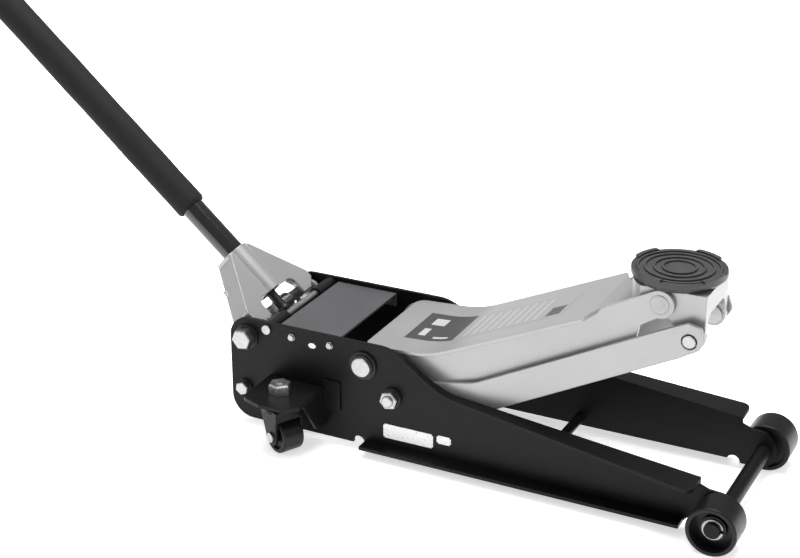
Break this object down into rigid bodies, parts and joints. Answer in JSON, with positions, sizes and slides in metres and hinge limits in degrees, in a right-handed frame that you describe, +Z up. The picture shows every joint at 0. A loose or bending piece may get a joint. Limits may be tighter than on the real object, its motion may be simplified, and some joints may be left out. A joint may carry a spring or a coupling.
{
  "type": "trolley jack",
  "caption": "Low hydraulic trolley jack: two black side plates on rollers and casters, a silver lift arm with parallel links and a round saddle, and a long pump handle.",
  "frame": {"origin": "centre of the footprint's bounding box, on the floor", "axes": "+X forward, from the handle towards the saddle and front rollers; +Y to the jack's left; +Z up"},
  "size_m": [1.5656, 0.362, 0.88],
  "materials": {
    "black_paint": "satin",
    "cover_paint": "satin",
    "silver_paint": "satin",
    "zinc": "bright zinc plate",
    "steel": "ground",
    "dark_steel": "blacked",
    "tube_paint": "gloss",
    "foam": "matt foam",
    "rubber": "matt",
    "saddle_iron": "painted",
    "wheel_plastic": "gloss",
    "plastic": "matt",
    "cast": "painted"
  },
  "bodies": {
    "chassis": {"side_plate_left": "black_paint", "side_plate_right": "black_paint", "mid_cross_rod": "black_paint", "rear_tie_rod": "zinc", "tie_rod_sleeves": "plastic", "cover_plate": "cover_paint", "cover_screws": "zinc", "front_axle": "black_paint", "axle_clips": "steel", "roller_spacers": "zinc", "arm_pivot_shaft": "zinc", "arm_shaft_rings": "dark_steel", "link_bolts": "zinc", "link_nuts": "zinc", "link_spacers": "zinc", "socket_bolts": "zinc", "socket_washers": "dark_steel", "pump_block": "cast", "unit_bolts": "zinc", "plate_washers": "dark_steel", "ram_cylinder": "cast", "filler_plug": "rubber", "caster_brackets": "black_paint", "caster_stems": "zinc", "caster_races": "zinc", "arm_springs": "zinc", "pump_spring": "steel"},
    "lift_arm": {"arm_top_sheet": "silver_paint", "arm_cheeks": "silver_paint", "arm_bearing_tube": "silver_paint", "arm_ram_pin": "steel", "saddle_bracket_pins": "steel"},
    "link_left": {"radius_link_left": "silver_paint"},
    "link_right": {"radius_link_right": "silver_paint"},
    "bracket": {"saddle_bracket": "silver_paint", "link_front_pins": "zinc"},
    "saddle": {"saddle_cup": "saddle_iron", "saddle_pad": "rubber", "saddle_clip": "dark_steel"},
    "ram": {"ram_piston": "steel", "ram_crosshead": "cast"},
    "plunger": {"pump_plunger": "steel"},
    "socket": {"handle_socket": "silver_paint", "socket_spring": "steel"},
    "pump_roller": {"pump_roller": "steel"},
    "handle": {"handle_lower_tube": "tube_paint", "handle_upper_tube": "tube_paint", "foam_sleeve": "foam", "hand_grip": "rubber", "handle_end_cap": "plastic", "release_fork": "steel"},
    "release": {"release_valve": "zinc"},
    "roller_left": {"front_roller_left": "wheel_plastic"},
    "roller_right": {"front_roller_right": "wheel_plastic"},
    "fork_left": {"caster_fork_left": "black_paint", "caster_axle_left": "zinc"},
    "fork_right": {"caster_fork_right": "black_paint", "caster_axle_right": "zinc"},
    "wheel_left": {"caster_wheel_left": "wheel_plastic"},
    "wheel_right": {"caster_wheel_right": "wheel_plastic"}
  },
  "joints": [
    {"name": "arm_lift", "type": "hinge", "parent": "chassis", "child": "lift_arm", "pos_m": [0.24213, 0, 0.1306], "axis": [0, -1, 0], "range_deg": [-27.2, 29], "deforming": ["arm_springs"]},
    {"name": "link_left_swing", "type": "hinge", "parent": "chassis", "child": "link_left", "pos_m": [0.28534, 0.083, 0.0917], "axis": [0, -1, 0], "range_deg": [-27.3, 29.1]},
    {"name": "link_right_swing", "type": "hinge", "parent": "chassis", "child": "link_right", "pos_m": [0.28534, -0.083, 0.0917], "axis": [0, -1, 0], "range_deg": [-27.3, 29.1]},
    {"name": "bracket_level", "type": "hinge", "parent": "lift_arm", "child": "bracket", "pos_m": [0.63768, 0, 0.28164], "axis": [0, -1, 0], "range_deg": [-29.1, 27.3]},
    {"name": "saddle_turn", "type": "hinge", "parent": "bracket", "child": "saddle", "pos_m": [0.64444, 0, 0.3182], "axis": [0, 0, 1], "continuous": true},
    {"name": "ram_push", "type": "slide", "parent": "chassis", "child": "ram", "axis": [1, 0, 0], "range_m": [-0.03201, 0.03411]},
    {"name": "socket_pump", "type": "hinge", "parent": "chassis", "child": "socket", "pos_m": [0.05944, 0, 0.1366], "axis": [0, -1, 0], "range_deg": [-42, 26]},
    {"name": "pump_roller_spin", "type": "hinge", "parent": "socket", "child": "pump_roller", "pos_m": [0.06731, 0.029, 0.1025], "axis": [0, 1, 0], "continuous": true},
    {"name": "plunger_stroke", "type": "slide", "parent": "chassis", "child": "plunger", "axis": [1, 0, 0], "range_m": [-0.0241, 0.01499], "deforming": ["pump_spring"]},
    {"name": "handle_twist", "type": "hinge", "parent": "socket", "child": "handle", "pos_m": [0.06448, 0, 0.14242], "axis": [-0.7559, 0, 0.6547], "range_deg": [0, 150]},
    {"name": "release_turn", "type": "hinge", "parent": "chassis", "child": "release", "pos_m": [0.06448, 0, 0.14242], "axis": [-0.7559, 0, 0.6547], "range_deg": [-1, 151]},
    {"name": "front_roll_left", "type": "hinge", "parent": "chassis", "child": "roller_left", "pos_m": [0.74964, 0.1245, 0.0332], "axis": [0, 1, 0], "continuous": true},
    {"name": "front_roll_right", "type": "hinge", "parent": "chassis", "child": "roller_right", "pos_m": [0.74964, -0.1245, 0.0332], "axis": [0, 1, 0], "continuous": true},
    {"name": "swivel_left", "type": "hinge", "parent": "chassis", "child": "fork_left", "pos_m": [0.13464, 0.135, 0.06], "axis": [0, 0, 1], "continuous": true},
    {"name": "caster_roll_left", "type": "hinge", "parent": "fork_left", "child": "wheel_left", "pos_m": [0.14221, 0.13886, 0.025], "axis": [0.454, -0.891, 0], "continuous": true},
    {"name": "swivel_right", "type": "hinge", "parent": "chassis", "child": "fork_right", "pos_m": [0.13464, -0.135, 0.06], "axis": [0, 0, 1], "continuous": true},
    {"name": "caster_roll_right", "type": "hinge", "parent": "fork_right", "child": "wheel_right", "pos_m": [0.14221, -0.13886, 0.025], "axis": [0.454, 0.891, 0], "continuous": true}
  ],
  "couplings": [
    {"joint": "link_left_swing", "follows": "arm_lift", "ratio": 1},
    {"joint": "link_right_swing", "follows": "arm_lift", "ratio": 1},
    {"joint": "bracket_level", "follows": "arm_lift", "ratio": -1},
    {"joint": "ram_push", "follows": "arm_lift", "m_per_rad": 0.0668},
    {"joint": "plunger_stroke", "follows": "socket_pump", "m_per_rad": 0.0326},
    {"joint": "release_turn", "follows": "handle_twist", "ratio": 1}
  ]
}
